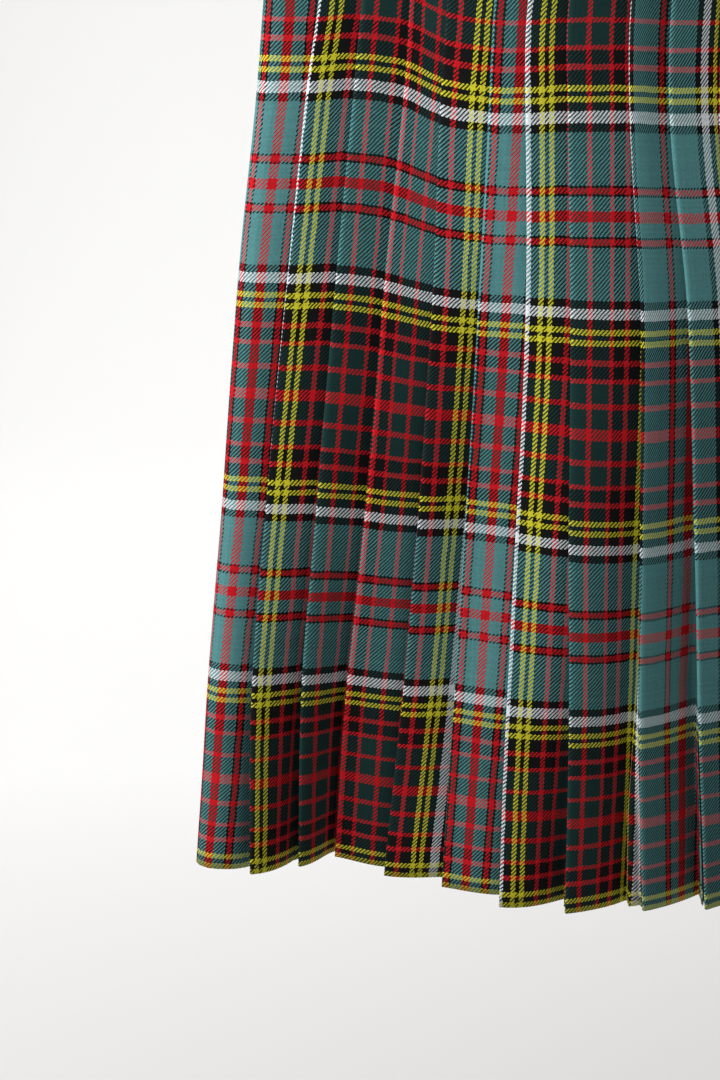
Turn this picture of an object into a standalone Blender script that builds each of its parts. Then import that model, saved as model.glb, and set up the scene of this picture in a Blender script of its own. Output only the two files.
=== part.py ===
"""Knife-pleated midi skirt in wool tartan, hanging by its waist and filled out to a shallow oval tube.

Metres, +Z up. The origin is the middle of the waist, at the top of the band where it is highest.
The front looks along -Y and the wearer's right side is at -X. Cloth lies below the origin.
"""
import math
from collections import namedtuple

import bpy
from mathutils import Vector

MM = 0.001

# Driving sizes
SKIRT_LENGTH = 0.718       # top of the band to the hem, down the side
WAIST_HALF_WIDTH = 0.187   # half of the tube's width at the waist
HEM_HALF_WIDTH = 0.253     # half of the tube's width at the hem
BAND_HEIGHT = 0.032        # waistband, top edge to the seam
PLEAT_COUNT = 42           # knife pleats round the whole skirt
PANEL_PLEATS = 21          # pleats in the front panel, and as many in the back panel
CLOTH_PER_PLEAT = 0.0466   # visible face, underlap and return, laid flat
SEAM_FOLD = 3              # the side seam is hidden in the fold under this pleat, counted from the left edge

# Cloth and clearances
CLOTH = 1.0 * MM           # thickness of the wall
LAYER_AT_WAIST = 1.4 * MM  # from one folded layer to the next, middle to middle
LAYER_AT_HEM = 2.0 * MM    # where the pleats are no longer held flat
SHARPEST_CORNER = 0.55     # cosine that limits how far the wall's outline reaches out at a fold
SEAM_GAP = 0.3 * MM        # clear space where two pieces meet
SEAM_ALLOWANCE = 5.0 * MM  # each panel's edge, past its last hidden fold
LEAST_UNDERLAP = 0.05      # of a pleat's face, where it swings open at the hem
MOST_UNDERLAP = 0.9        # of a pleat's face, where the folds lie close together

# Where the layers turn round a side edge of the tube, as shares of the pleat before or after it
EDGE_TURNS = (0.13, 0.3)   # just past the edge
PAST_EDGE_TURN = 0.62      # the last of them, on the visible face
BEFORE_EDGE_TURN = 0.97    # just short of the edge, on the visible face
NEAR_HIDDEN = 0.8          # of the way to the hidden fold

# Heights, measured down the cloth from the top of the band, where the sections are set out
ROWS = (BAND_HEIGHT + SEAM_GAP, 0.13, 0.24, 0.34, 0.43, 0.51, 0.585, 0.655, SKIRT_LENGTH)

# The oval tube: half of its depth, and the radius its side edges turn round
Section = namedtuple("Section", "down half_depth edge_radius")
SECTIONS = (
    Section(0.000, 0.044, 0.0080),
    Section(0.180, 0.038, 0.0065),
    Section(0.360, 0.031, 0.0050),
    Section(0.540, 0.029, 0.0045),
    Section(0.720, 0.029, 0.0040),
)

# How each fold hangs, from the left edge (fold 0) to the middle of the front, in millimetres.
# side_*: how far the fold lies to the right of even spacing, at seven heights from waist to hem
# fore_*: how far the tube stands forward there, at hip, knee and hem height
# drop_*: how much lower its cloth hangs than at the side edge, at waist, hip, knee and hem height
# swing, lean: how far the fold's edge stands off the pleat beside it at the hem, and leans to the right
Fold = namedtuple("Fold", "side_waist side_belly side_hip side_thigh side_knee side_calf side_hem"
                          " fore_hip fore_knee fore_hem drop_waist drop_hip drop_knee drop_hem swing lean")
FOLDS = (
    Fold(0, 0, 0, -1.5, -0.5, 0, 2, 0, 0, 0, 0, 0, 0, 0, 2, 0),
    Fold(0, 3, 0.5, -2, -4, -5, -1.5, -2, -2, -4, 2, 0, 1, 2, 5, 0),
    Fold(0, 0, -1, -3, -5, -7, -5, -6, -5, -17, 4, -1, 2, 3, 4, 0),
    Fold(-1, -1, -1, -4, -6, -9, -9, -9, -11, -32, 6, 2, 5, 3, 3, 0),
    Fold(-3, -6.5, -6.5, -5, -5, -6, -7, -8, -13, -28, 8, 9, 8, 8, 6, 0),
    Fold(-5, -9, -8.5, -7, -5.5, -4.5, -2.5, -5, -15, -22, 9, 12, 9, 9, 8, 0),
    Fold(-8, -16.5, -14.5, -9, -5.5, -4, -2, -3, -8, -10, 10, 12, 11, 11, 10, 0),
    Fold(-10, -21.5, -19, -13.5, -8, -3, -0.5, -2, 1, -9, 11, 11, 13, 12, 11, 1.5),
    Fold(-11, -18, -16, -7.5, -4, -1, 4, -2, 0, -9, 12, 11, 15, 12, 8, 6),
    Fold(-12, -22.5, -20.5, -9, -1, 6, 14.5, -5, -7, -18, 12, 12, 14, 13, 12, 1),
    Fold(-12, -22, -21, -12.5, -3.5, 5, 13, -6, -8, -14, 12, 12, 14, 13, 7, 0),
)
WAIST, BELLY, HIP, THIGH, KNEE, CALF, HEM = 0.0, 0.32, 0.36, 0.44, 0.54, 0.63, 0.72
SIDE_COLUMNS = ("side_waist", "side_belly", "side_hip", "side_thigh", "side_knee", "side_calf", "side_hem")
SOFTER_WAVES = 0.7         # the right half hangs like the left, mirrored, with waves this much as deep
SWING_STARTS = 0.38        # pleats are closed above this height and open below it
SWING_CURVE = 1.35

# Waistband and its lap over the side opening
BAND_INSIDE = 3.4 * MM     # from the tube's line to the band's inner side; it is thickest over the pleats
BAND_OUTSIDE = 3.7 * MM
BAND_TOP_INSIDE = 1.0 * MM
BAND_TOP_OUTSIDE = 2.2 * MM
BAND_TURN_IN = 0.5 * MM    # the outside draws in by this much at the shoulder
BAND_SHOULDER = 7.0 * MM   # down from the top, where the band reaches its full thickness
BAND_STEPS_PER_PLEAT = 2
LAP_PLEATS = 2.0           # the under end reaches this far below the outer end
LAP_STEPS = 4
LAP_CLOTH = 2.4 * MM       # thickness of the under end
LAP_BLEND = 0.8            # pleats over which the band thickens inwards before the lap
BAND_EDGE_TURN = 0.2       # pleats to either side of a side edge where the band gets one more section

# Button on the lap
BUTTON_RADIUS = 8.5 * MM
BUTTON_THICK = 3.0 * MM
BUTTON_FROM_END = 0.85     # in pleats, from the band's outer end
BUTTON_LOWER = 2.0 * MM    # below the band's middle
BUTTON_RIM = 1.6 * MM      # width of the raised rim
BUTTON_DISH = 0.8 * MM     # how deep the middle lies below the rim
BUTTON_EDGE = 0.7 * MM     # bevel of the rim
BUTTON_HOLE_RADIUS = 0.9 * MM
BUTTON_HOLE_OFFSET = 2.0 * MM
BUTTON_SIDES = 32


def smooth_between(heights, values, height):
    """Value of a smooth curve through a few set heights."""
    last = len(heights) - 1
    height = min(max(height, heights[0]), heights[last])
    span = 0
    while span < last - 1 and height > heights[span + 1]:
        span += 1
    lo, hi = heights[span], heights[span + 1]
    part = (height - lo) / (hi - lo)

    def slope(at):
        before, after = max(at - 1, 0), min(at + 1, last)
        return (values[after] - values[before]) / (heights[after] - heights[before])

    bend = part * part * (3 - 2 * part)
    start = slope(span) * (hi - lo) * part * (1 - part) ** 2
    end = slope(span + 1) * (hi - lo) * part * part * (part - 1)
    return values[span] * (1 - bend) + values[span + 1] * bend + start + end


def half_width(down):
    return WAIST_HALF_WIDTH + (HEM_HALF_WIDTH - WAIST_HALF_WIDTH) * down / SKIRT_LENGTH


def oval(share, down):
    """Point (x, y) on the plain tube, at a share (0 to 1) of the way round.

    Each wall is a shallow arc and the side edges are small round caps that meet it.
    Share 0 is the left edge, a quarter is the middle of the front.
    """
    downs = [section.down for section in SECTIONS]
    cap = smooth_between(downs, [section.edge_radius for section in SECTIONS], down)
    depth = smooth_between(downs, [section.half_depth for section in SECTIONS], down)
    reach = half_width(down) - cap
    radius = (reach ** 2 + depth ** 2 - cap ** 2) / (2 * (depth - cap))
    middle = radius - depth
    arc_angle = math.atan2(reach, middle)
    cap_length = cap * (math.pi / 2 - arc_angle)
    quarter = cap_length + radius * arc_angle
    share = share % 1.0
    behind = share > 0.5
    along = (1.0 - share if behind else share) * 4 * quarter
    right = along > 2 * quarter - along
    along = min(along, 2 * quarter - along)
    if along < cap_length:
        turn = along / cap
        x, y = -reach - cap * math.cos(turn), -cap * math.sin(turn)
    else:
        turn = arc_angle - (along - cap_length) / radius
        x, y = -radius * math.sin(turn), middle - radius * math.cos(turn)
    return (-x if right else x), (-y if behind else y)


def fold_value(number, names, heights, down, other_half=None):
    """A column group of the fold table at one fold and height, in metres.

    Past the table, in the right half, it is the mirrored fold's value times other_half, or where
    none is given it fades from the table's last row to nothing at the side edge. An empty name is 0.
    """
    number = abs(number) % PLEAT_COUNT
    number = min(number, PLEAT_COUNT - number)
    scale = 1.0
    row = number
    if number >= len(FOLDS):
        row = len(FOLDS) - 1 if other_half is None else PANEL_PLEATS - number
        scale = (PANEL_PLEATS - number) / (PANEL_PLEATS - row) if other_half is None else other_half
    fold = FOLDS[row]
    values = [getattr(fold, name) if name else 0 for name in names]
    return MM * scale * smooth_between(heights, values, down)


def between_folds(place, names, heights, down, other_half=None):
    """The same, at any place between folds, on a smooth curve through four of them."""
    first = math.floor(place)
    part = place - first
    a, b, c, d = (fold_value(first + step, names, heights, down, other_half) for step in (-1, 0, 1, 2))
    return b + 0.5 * part * (c - a + part * (2 * a - 5 * b + 4 * c - d + part * (3 * (b - c) + d - a)))


def hang(place, down):
    """Carrier point (x, y, drop) at a place counted in pleats from the left edge."""
    x, y = oval(place / PLEAT_COUNT, down)
    heights = (WAIST, HIP, KNEE, HEM)
    x += between_folds(place, SIDE_COLUMNS, (WAIST, BELLY, HIP, THIGH, KNEE, CALF, HEM), down)
    y -= between_folds(place, ("", "fore_hip", "fore_knee", "fore_hem"), heights, down, SOFTER_WAVES)
    drop = between_folds(place, ("drop_waist", "drop_hip", "drop_knee", "drop_hem"), heights, down, 1.0)
    return x, y, drop


def stand_off(place, off, down):
    """Point that stands off the carrier by a distance, as a vector in the plane."""
    x, y, _ = hang(place, down)
    step = 0.02
    ax, ay, _ = hang(place - step, down)
    bx, by, _ = hang(place + step, down)
    along = Vector((bx - ax, by - ay)).normalized()
    return Vector((x, y)) + off * Vector((along.y, -along.x))


def layer(down):
    """From one folded layer to the next at this height."""
    return LAYER_AT_WAIST + (LAYER_AT_HEM - LAYER_AT_WAIST) * (down / SKIRT_LENGTH) ** 2


def opening(down):
    """0 where the pleats are closed, 1 at the hem."""
    if down <= SWING_STARTS:
        return 0.0
    return ((down - SWING_STARTS) / (SKIRT_LENGTH - SWING_STARTS)) ** SWING_CURVE


def swing(number, down):
    """How far the edge of a fold stands off at this height."""
    return fold_value(number, ("swing",) * 2, (WAIST, HEM), down, 1.0) * opening(down)


def lean(number, share, down):
    """How far a pleat's face is shifted to the right, at a share of it from its edge."""
    full = fold_value(number, ("lean",) * 2, (WAIST, HEM), down, 0.0) * opening(down)
    x0, y0, _ = hang(number, down)
    x1, y1, _ = hang(number + 1, down)
    return full * (1 - share) * Vector((x1 - x0, y1 - y0)).normalized()


def underlap(number, down):
    """Share of a pleat's face that its hidden underlap takes, from the cloth that is left for it."""
    x0, y0, _ = hang(number, down)
    x1, y1, _ = hang(number + 1, down)
    face = math.hypot(math.hypot(x1 - x0, y1 - y0), 2 * layer(down) + swing(number, down))
    rise = layer(down) + swing(number + 1, down)
    left = CLOTH_PER_PLEAT - face
    drawn_back = lean(number + 1, 0.0, down).length
    share = ((left ** 2 - rise ** 2) / (2 * left) - drawn_back) / face
    return min(max(share, LEAST_UNDERLAP), MOST_UNDERLAP)


def hairpin(place, tip, one_leg, other_leg, down):
    """Two points of a fold, a layer apart and square to its legs: the outward one and the inward one."""
    bisector = ((one_leg - tip).normalized() + (other_leg - tip).normalized()).normalized()
    square = Vector((-bisector.y, bisector.x)) * layer(down) / 2
    outward = stand_off(place, 1.0, down) - stand_off(place, 0.0, down)
    if outward.dot(square) < 0:
        square = -square
    return tip + square, tip - square


def fold_edge(number, down):
    """Middle of an outer fold."""
    return stand_off(number, 1.5 * layer(down) + swing(number, down), down) + lean(number, 0.0, down)


def under_tip(number, down):
    """Where a pleat's face goes under the next fold."""
    return stand_off(number + 1, 0.0, down)


def side_turns(number, down):
    """Shares of a pleat at which its layers take more points, because they turn round a side edge."""
    hidden = underlap(number - 1, down)
    if number % PANEL_PLEATS == 0:
        return (min(EDGE_TURNS[0], hidden * NEAR_HIDDEN / 2), min(EDGE_TURNS[1], hidden * NEAR_HIDDEN))
    if number % PANEL_PLEATS == PANEL_PLEATS - 1:
        return (hidden / 2, hidden * NEAR_HIDDEN)
    return ()


def face_shares(number, down):
    """Shares of a pleat at which its visible face takes its inner points."""
    turns = side_turns(number, down)
    if number % PANEL_PLEATS == 0:
        return turns + (PAST_EDGE_TURN,)
    if turns:
        hidden = underlap(number - 1, down)
        return turns + (hidden, (hidden + BEFORE_EDGE_TURN) / 2, BEFORE_EDGE_TURN)
    return (0.5,)


def under_layer(number, down):
    """Inner points of the underlap that runs on below a fold, from the pleat before it."""
    shares = side_turns(number, down)
    return [(number + share, stand_off(number + share, -2 * layer(down) * share, down)) for share in shares]


def return_layer(number, down):
    """Inner points of the return between a fold's edge and its hidden fold."""
    points = []
    for share in side_turns(number, down):
        opened = swing(number, down) * (1 - share / underlap(number - 1, down))
        off = layer(down) * (1 - 2 * share) + opened
        points.append((number + share, stand_off(number + share, off, down)))
    return points


def hidden_fold(number, down, extra):
    """Place and two points of the fold or seam below a fold's edge: on its return and on its underlap."""
    share = underlap(number - 1, down) + extra
    tip = stand_off(number + share, layer(down) * (0.5 - 2 * share), down)
    beneath = ([under_tip(number - 1, down)] + [point for _, point in under_layer(number, down)])[-1]
    above = ([fold_edge(number, down)] + [point for _, point in return_layer(number, down)])[-1]
    return_point, under_point = hairpin(number + share, tip, above, beneath, down)
    return number + share, return_point, under_point


def seam_share(number, seam, down):
    """Extra reach of the hidden fold below a fold's edge where it is a seam, in pleats."""
    if number != seam:
        return 0.0
    return SEAM_ALLOWANCE * PLEAT_COUNT / (4 * half_width(down))


def pleat_line(first, last, down):
    """Middle line of a panel at one height, as points and their places counted in pleats.

    It runs from the hidden fold or seam before each pleat to its outer fold, along its visible
    face, and under the next pleat to the hidden fold there.
    """
    line = []
    for number in range(first, last):
        before, return_point, _ = hidden_fold(number, down, seam_share(number, first, down))
        returning = return_layer(number, down)
        edge = fold_edge(number, down)
        rise = 2 * layer(down) + swing(number, down)
        face = [(number + share, stand_off(number + share, rise * (1 - share), down) + lean(number, share, down))
                for share in face_shares(number, down)]
        behind_edge = returning[0][1] if returning else return_point
        outer, inner = hairpin(number, edge, face[0][1], behind_edge, down)
        after, _, under_point = hidden_fold(number + 1, down, seam_share(number + 1, last, down))
        line.append((before, return_point))
        line.extend(reversed(returning))
        line.append((number, inner))
        line.append((number, outer))
        line.extend(face)
        line.append((number + 1, under_tip(number, down)))
        line.extend(under_layer(number + 1, down))
        line.append((after, under_point))
    return [point for _, point in line], [place for place, _ in line]


def wall_sides(points):
    """Outer and inner outline of a wall of cloth along a middle line."""
    outer, inner = [], []
    last = len(points) - 1
    for at, point in enumerate(points):
        back = (point - points[at - 1]).normalized() if at > 0 else None
        ahead = (points[at + 1] - point).normalized() if at < last else None
        back = back or ahead
        ahead = ahead or back
        along = (back + ahead).normalized()
        reach = CLOTH / 2 / max(along.dot(ahead), SHARPEST_CORNER)
        side = Vector((along.y, -along.x)) * reach
        outer.append(point + side)
        inner.append(point - side)
    return outer, inner


def at_height(points, places, down):
    """Lift plane points to their height, with the cloth's drop at each place."""
    lifted = []
    for point, place in zip(points, places):
        drop = hang(place, down)[2]
        lifted.append((point.x, point.y, -down - drop))
    return lifted


def new_object(name, vertices, faces, colour, roughness):
    mesh = bpy.data.meshes.new(name)
    mesh.from_pydata(vertices, [], faces)
    mesh.validate()
    mesh.update()
    piece = bpy.data.objects.new(name, mesh)
    bpy.context.collection.objects.link(piece)
    material = bpy.data.materials.new(name)
    material.use_nodes = True
    shader = material.node_tree.nodes["Principled BSDF"]
    shader.inputs["Base Color"].default_value = (*colour, 1.0)
    shader.inputs["Roughness"].default_value = roughness
    shader.inputs["Metallic"].default_value = 0.0
    mesh.materials.append(material)
    return piece


def tube_wall(rings):
    """Vertices and faces of a solid between matching closed outlines, one above the other."""
    count = len(rings[0])
    vertices = [vertex for ring in rings for vertex in ring]
    faces = []
    for row in range(len(rings) - 1):
        for at in range(count):
            ahead = (at + 1) % count
            low, high = row * count, (row + 1) * count
            faces.append((low + at, high + at, high + ahead, low + ahead))
    return vertices, faces


def bent_alike(quads, places):
    """Cut a folded wall's quads into triangles whose diagonals all rise towards the next pleat.

    A twisted quad bends along its diagonal, and the sides of a wall and the layers that lie on each
    other must bend together. The quads go round the wall's outline, its outer side first.
    """
    triangles = []
    half = len(places)
    for order, (low, high, high_ahead, low_ahead) in enumerate(quads):
        at = order % (2 * half)
        outer = at < half
        column = at if outer else 2 * half - 2 - at
        onward = 0 <= column < half - 1 and places[column + 1] >= places[column]
        if outer == onward:
            triangles += [(low, high, high_ahead), (low, high_ahead, low_ahead)]
        else:
            triangles += [(low, high, low_ahead), (high, high_ahead, low_ahead)]
    return triangles


def pleated_panel(name, first, colour):
    """One panel of knife pleats, from the seam fold before its first pleat to the seam after its last."""
    last = first + PANEL_PLEATS
    rings = []
    for down in ROWS:
        middle, places = pleat_line(first, last, down)
        outer, inner = wall_sides(middle)
        rings.append(at_height(outer + inner[::-1], places + places[::-1], down))
    vertices, quads = tube_wall(rings)
    faces = bent_alike(quads, places)
    count = len(rings[0])
    half = count // 2
    bottom = (len(ROWS) - 1) * count
    for at in range(half - 1):
        across = count - 1 - at
        faces.append((at, at + 1, across - 1, across))
        faces.append((bottom + across, bottom + across - 1, bottom + at + 1, bottom + at))
    return new_object(name, vertices, faces, colour, 0.9)


def band_section(place, inside_extra, outside):
    """Six corners of the waistband at one place, counted in pleats."""
    def corner(off, down):
        point = stand_off(place, off, down)
        return (point.x, point.y, -down - hang(place, down)[2])

    if outside is None:
        outer = (BAND_OUTSIDE, BAND_OUTSIDE - BAND_TURN_IN, BAND_TOP_OUTSIDE)
        inner = (-BAND_INSIDE - inside_extra, -BAND_INSIDE - inside_extra, -BAND_TOP_INSIDE - inside_extra)
    else:
        outer = (outside,) * 3
        inner = (outside - LAP_CLOTH,) * 3
    downs = (BAND_HEIGHT, BAND_SHOULDER, 0.0)
    outer_side = [corner(off, down) for off, down in zip(outer, downs)]
    inner_side = [corner(off, down) for off, down in zip(inner, downs)]
    return outer_side + inner_side[::-1]


def waistband():
    """Straight band round the waist. Its outer end laps over its under end at the side opening."""
    start = SEAM_FOLD + PANEL_PLEATS
    end = start + PLEAT_COUNT
    inset = SEAM_GAP * PLEAT_COUNT / (4 * WAIST_HALF_WIDTH)
    under_outside = -BAND_INSIDE - SEAM_GAP
    thicker = LAP_CLOTH + SEAM_GAP
    rings = []
    steps = PLEAT_COUNT * BAND_STEPS_PER_PLEAT
    for step in range(steps):
        place = start + step / BAND_STEPS_PER_PLEAT
        for extra in (-BAND_EDGE_TURN, 0.0, BAND_EDGE_TURN) if place % PANEL_PLEATS == 0 else (0.0,):
            here = place + extra
            blend = min(max((here - (end - LAP_BLEND)) / (LAP_BLEND / 2), 0.0), 1.0)
            rings.append(band_section(here, thicker * blend, None))
    rings.append(band_section(end - 2 * inset, thicker, None))
    rings.append(band_section(end - inset, 0.0, under_outside))
    for step in range(1, LAP_STEPS + 1):
        rings.append(band_section(end + LAP_PLEATS * step / LAP_STEPS, 0.0, under_outside))
    vertices, faces = tube_wall(rings)
    count = len(rings[0])
    closing = (len(rings) - 1) * count
    faces.append(tuple(range(count)))
    faces.append(tuple(closing + at for at in reversed(range(count))))
    return new_object("waistband", vertices, faces, (0.10, 0.22, 0.25), 0.9)


def button():
    """Four-hole button on the band's lap, with a raised rim."""
    place = SEAM_FOLD + PANEL_PLEATS + BUTTON_FROM_END
    middle = BAND_HEIGHT / 2 + BUTTON_LOWER
    seat = stand_off(place, BAND_OUTSIDE + SEAM_GAP, middle)
    out = (stand_off(place, BAND_OUTSIDE + 1.0, middle) - seat).normalized()
    drop = hang(place, middle)[2]
    inside_rim = BUTTON_RADIUS - BUTTON_RIM
    profile = ((BUTTON_RADIUS - BUTTON_EDGE, 0.0), (BUTTON_RADIUS, BUTTON_EDGE),
               (BUTTON_RADIUS, BUTTON_THICK - BUTTON_EDGE), (BUTTON_RADIUS - BUTTON_EDGE, BUTTON_THICK),
               (inside_rim, BUTTON_THICK), (inside_rim - BUTTON_DISH, BUTTON_THICK - BUTTON_DISH))
    rings = []
    for radius, height in profile:
        turns = (2 * math.pi * at / BUTTON_SIDES for at in range(BUTTON_SIDES))
        rings.append([(radius * math.cos(turn), radius * math.sin(turn), height) for turn in turns])
    vertices, faces = tube_wall(rings)
    faces = [face[::-1] for face in faces]
    top = (len(rings) - 1) * BUTTON_SIDES
    faces.append(tuple(reversed(range(BUTTON_SIDES))))
    faces.append(tuple(top + at for at in range(BUTTON_SIDES)))
    piece = new_object("waist_button", vertices, faces, (0.03, 0.07, 0.08), 0.35)
    for quarter in range(4):
        turn = math.pi / 4 + quarter * math.pi / 2
        spot = (BUTTON_HOLE_OFFSET * math.cos(turn), BUTTON_HOLE_OFFSET * math.sin(turn), BUTTON_THICK / 2)
        bpy.ops.mesh.primitive_cylinder_add(vertices=12, radius=BUTTON_HOLE_RADIUS, depth=2 * BUTTON_THICK,
                                            location=spot)
        cutter = bpy.context.object
        cutter.name = f"button_hole_cutter_{quarter}"
        cutter.hide_render = True
        cutter.display_type = "WIRE"
        cutter.parent = piece
        cut = piece.modifiers.new(f"hole_{quarter}", "BOOLEAN")
        cut.operation = "DIFFERENCE"
        cut.object = cutter
    piece.rotation_mode = "QUATERNION"
    piece.rotation_quaternion = Vector((out.x, out.y, 0.0)).to_track_quat("Z", "Y")
    piece.location = (seat.x, seat.y, -middle - drop)
    return piece


def build():
    for leftover in list(bpy.data.objects):
        bpy.data.objects.remove(leftover, do_unlink=True)
    pleated_panel("front", SEAM_FOLD, (0.16, 0.30, 0.33))
    pleated_panel("back", SEAM_FOLD + PANEL_PLEATS, (0.13, 0.25, 0.28))
    waistband()
    button()


build()
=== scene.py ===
import math
from collections import namedtuple
from functools import lru_cache

import bmesh
import bpy
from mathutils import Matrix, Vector, noise


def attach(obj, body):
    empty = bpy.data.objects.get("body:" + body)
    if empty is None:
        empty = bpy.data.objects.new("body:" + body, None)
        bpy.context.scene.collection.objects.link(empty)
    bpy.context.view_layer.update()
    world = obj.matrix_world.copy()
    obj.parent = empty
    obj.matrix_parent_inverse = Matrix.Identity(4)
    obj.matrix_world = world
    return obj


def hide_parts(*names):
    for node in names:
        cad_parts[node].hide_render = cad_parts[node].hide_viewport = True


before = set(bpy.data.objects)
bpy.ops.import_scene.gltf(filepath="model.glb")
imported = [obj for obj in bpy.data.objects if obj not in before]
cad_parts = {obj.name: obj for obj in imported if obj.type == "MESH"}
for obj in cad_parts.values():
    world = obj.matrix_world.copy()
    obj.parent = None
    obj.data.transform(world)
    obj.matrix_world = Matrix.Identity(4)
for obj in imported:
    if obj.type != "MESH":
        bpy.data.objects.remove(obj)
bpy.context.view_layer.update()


# Front panel: wool twill in a tartan check, cut straight and pressed into knife pleats.
# Each pleat lies over the next one to its left; the tops are sewn into the waistband, the side
# edges are seamed inside a pleat, and the lower edge is turned up and hemmed by hand.

MM = 0.001
SKIRT_LENGTH = 0.718
WAIST_HALF_WIDTH = 0.187
HEM_HALF_WIDTH = 0.253
BAND_HEIGHT = 0.032
PLEAT_COUNT = 42
PANEL_PLEATS = 21
CLOTH_PER_PLEAT = 0.0466
SEAM_FOLD = 3
CLOTH = 0.8 * MM
LAYER_AT_WAIST = 1.4 * MM
LAYER_AT_HEM = 2.0 * MM
SEAM_ALLOWANCE = 5.0 * MM
LEAST_UNDERLAP = 0.05
MOST_UNDERLAP = 0.9
SUNK_IN_BAND = 2.0 * MM
HEM_TURNED = 30.0 * MM
HEM_EXTRA = 0.35 * MM

# The plain tube that the pleats follow
Section = namedtuple("Section", "down half_depth edge_radius")
SECTIONS = (
    Section(0.000, 0.044, 0.0080),
    Section(0.180, 0.038, 0.0065),
    Section(0.360, 0.031, 0.0050),
    Section(0.540, 0.029, 0.0045),
    Section(0.720, 0.029, 0.0040),
)
Tube = namedtuple("Tube", "cap reach radius middle arc_angle cap_length quarter half_width")

# How each fold hangs, from the left edge to the middle of the front, in millimetres
SIDE_COLUMNS = (
    "side_waist", "side_belly", "side_hip", "side_thigh", "side_knee", "side_calf", "side_hem",
)
FORE_COLUMNS = ("", "fore_hip", "fore_knee", "fore_hem")
DROP_COLUMNS = ("drop_waist", "drop_hip", "drop_knee", "drop_hem")
Fold = namedtuple("Fold", SIDE_COLUMNS + FORE_COLUMNS[1:] + DROP_COLUMNS + ("swing", "lean"))
FOLDS = (
    Fold(0, 0, 0, -1.5, -0.5, 0, 2, 0, 0, 0, 0, 0, 0, 0, 2, 0),
    Fold(0, 3, 0.5, -2, -4, -5, -1.5, -2, -2, -4, 2, 0, 1, 2, 5, 0),
    Fold(0, 0, -1, -3, -5, -7, -5, -6, -5, -17, 4, -1, 2, 3, 4, 0),
    Fold(-1, -1, -1, -4, -6, -9, -9, -9, -11, -32, 6, 2, 5, 3, 3, 0),
    Fold(-3, -6.5, -6.5, -5, -5, -6, -7, -8, -13, -28, 8, 9, 8, 8, 6, 0),
    Fold(-5, -9, -8.5, -7, -5.5, -4.5, -2.5, -5, -15, -22, 9, 12, 9, 9, 8, 0),
    Fold(-8, -16.5, -14.5, -9, -5.5, -4, -2, -3, -8, -10, 10, 12, 11, 11, 10, 0),
    Fold(-10, -21.5, -19, -13.5, -8, -3, -0.5, -2, 1, -9, 11, 11, 13, 12, 11, 1.5),
    Fold(-11, -18, -16, -7.5, -4, -1, 4, -2, 0, -9, 12, 11, 15, 12, 8, 6),
    Fold(-12, -22.5, -20.5, -9, -1, 6, 14.5, -5, -7, -18, 12, 12, 14, 13, 12, 1),
    Fold(-12, -22, -21, -12.5, -3.5, 5, 13, -6, -8, -14, 12, 12, 14, 13, 7, 0),
)
WAIST, BELLY, HIP, THIGH, KNEE, CALF, HEM = 0.0, 0.32, 0.36, 0.44, 0.54, 0.63, 0.72
HEIGHTS = (WAIST, HIP, KNEE, HEM)
SIDE_HEIGHTS = (WAIST, BELLY, HIP, THIGH, KNEE, CALF, HEM)
SOFTER_WAVES = 0.7
SWING_STARTS = 0.38
SWING_CURVE = 1.35
SIDESTEP = 0.02

# Where the points across one pleat lie: along its hidden return, round its edge, along its visible
# face and its underlap, as shares of each, and round the hidden fold; angles in degrees
RETURN_PARTS = (1.0, 0.7, 0.4, 0.15)
EDGE_ANGLES = (-90, -45, 0, 45)
FACE_PARTS = (0.0, 0.06, 0.15, 0.27, 0.4, 0.53, 0.66, 0.79, 0.91, 1.0)
UNDER_PARTS = (0.35, 0.7, 1.0)
HIDDEN_ANGLES = (-45, 0, 45)

# Rows down the panel, with two close together where the turned-up hem begins
PANEL_ROWS = 86
HEM_ROWS = (-0.8 * MM, 0.2 * MM)
CLEAR_OF_HEM_ROWS = 2.5 * MM

# The weave: size of one thread, and which warp thread of the check lies on each fold's edge at the
# hip and at the hem, how much closer than even the threads lie there, and how many run early
WARP_STEP = 0.523 * MM
WEFT_STEP = 0.591 * MM
THREADS_PER_PLEAT = 89
Threads = namedtuple("Threads", "edge_hip edge_hem crowd_hip crowd_hem early")
FRONT_THREADS = (
    Threads(34, 35, 1.45, 1, 0),
    Threads(129, 129.5, 1, 1, 0),
    Threads(218.5, 220, 1, 1, 0),
    Threads(309, 310, 1, 1, 0),
    Threads(398.5, 403, 1, 1, 0),
    Threads(482.5, 491, 1.6, 1.15, 8),
    Threads(576, 588, 1.4, 1.05, 0),
    Threads(661, 661, 1, 1, 0),
)
BACK_THREADS = (
    Threads(213.5, 224, 1, 1, 0),
    Threads(311, 316, 1, 1, 0),
    Threads(403, 400.5, 1, 1, 0),
)
WHITE_LINE_DOWN = 0.3617
WHITE_LINE_PICK = 174

# Small unevenness of the pressed cloth: each face is a little crowned, and ripples shift the cloth
# outward and along, but not where the band holds it
CROWN = 1.5 * MM
CROWN_WHEN_CLOSED = 0.25
CROWN_FULLNESS = 0.8
Waves = namedtuple("Waves", "height per_pleat per_metre seed")
RIPPLE = Waves(0.35 * MM, 0.9, 17, 2.0)
WAVER = Waves(0.45 * MM, 0.75, 12, 9.0)
FREE_BELOW_BAND = 0.08


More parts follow.
